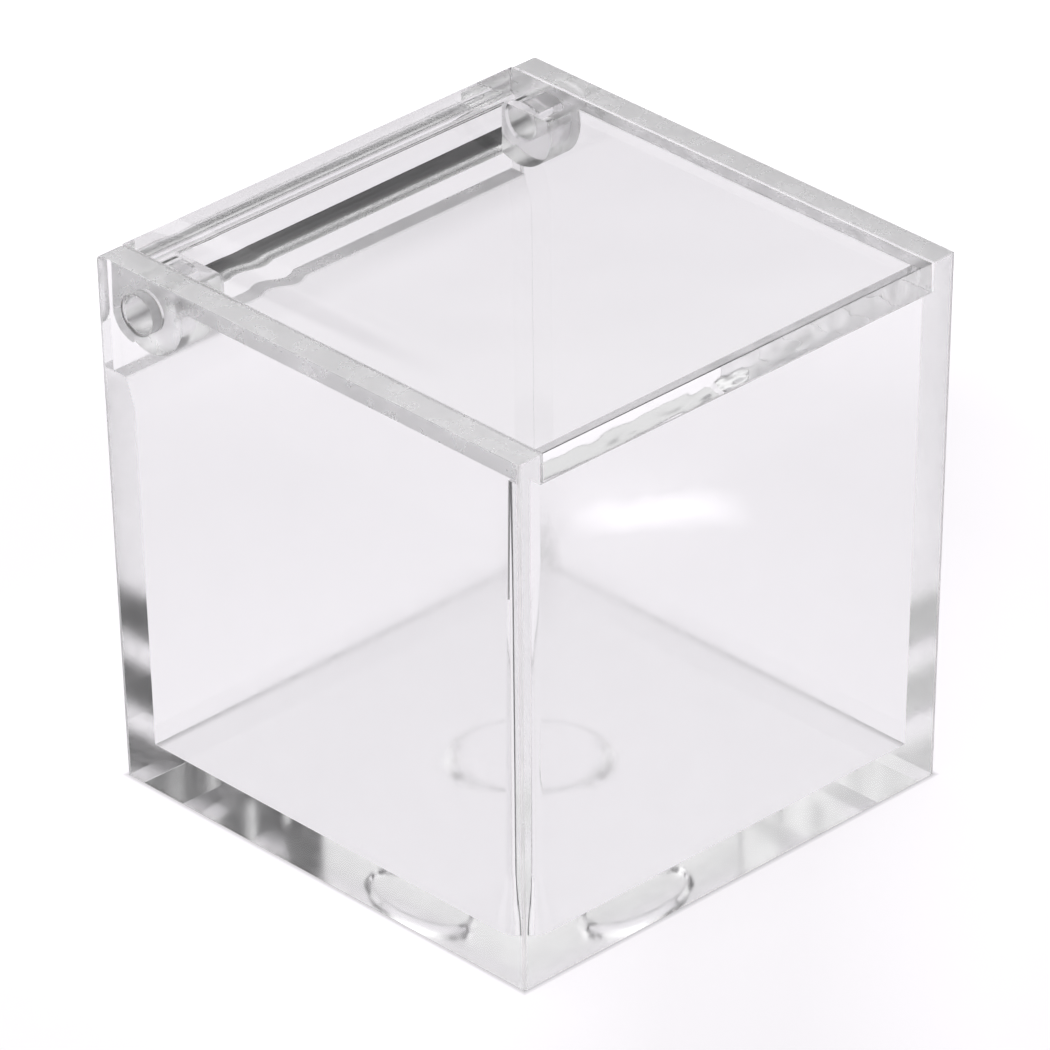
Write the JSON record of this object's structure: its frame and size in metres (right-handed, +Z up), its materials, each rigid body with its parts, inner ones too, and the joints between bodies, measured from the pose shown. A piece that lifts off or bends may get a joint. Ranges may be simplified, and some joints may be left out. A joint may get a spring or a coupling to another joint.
{
  "type": "hinged display cube",
  "caption": "Clear rigid display cube: a drafted square box with thick walls and a flush lid that swings on hinge pins through the side walls.",
  "frame": {"origin": "centre of the underside of the base, on the surface that the cube stands on", "axes": "+Z up, -Y out of the front where the lid is lifted, +X to the right, hinge axis along X at the rear"},
  "size_m": [0.0566, 0.0566, 0.057],
  "materials": {
    "box_acrylic": "clear moulded acrylic, glossy",
    "lid_acrylic": "clear moulded acrylic, glossy, faint flow marks",
    "pin_acrylic": "clear acrylic rod, lightly frosted ends"
  },
  "bodies": {
    "box": {"body": "box_acrylic", "hinge_pin_left": "pin_acrylic", "hinge_pin_right": "pin_acrylic"},
    "lid": {"lid": "lid_acrylic"}
  },
  "joints": [
    {"name": "lid_hinge", "type": "hinge", "parent": "box", "child": "lid", "pos_m": [0, 0.02295, 0.0524], "axis": [-1, 0, 0], "range_deg": [0, 200]}
  ]
}
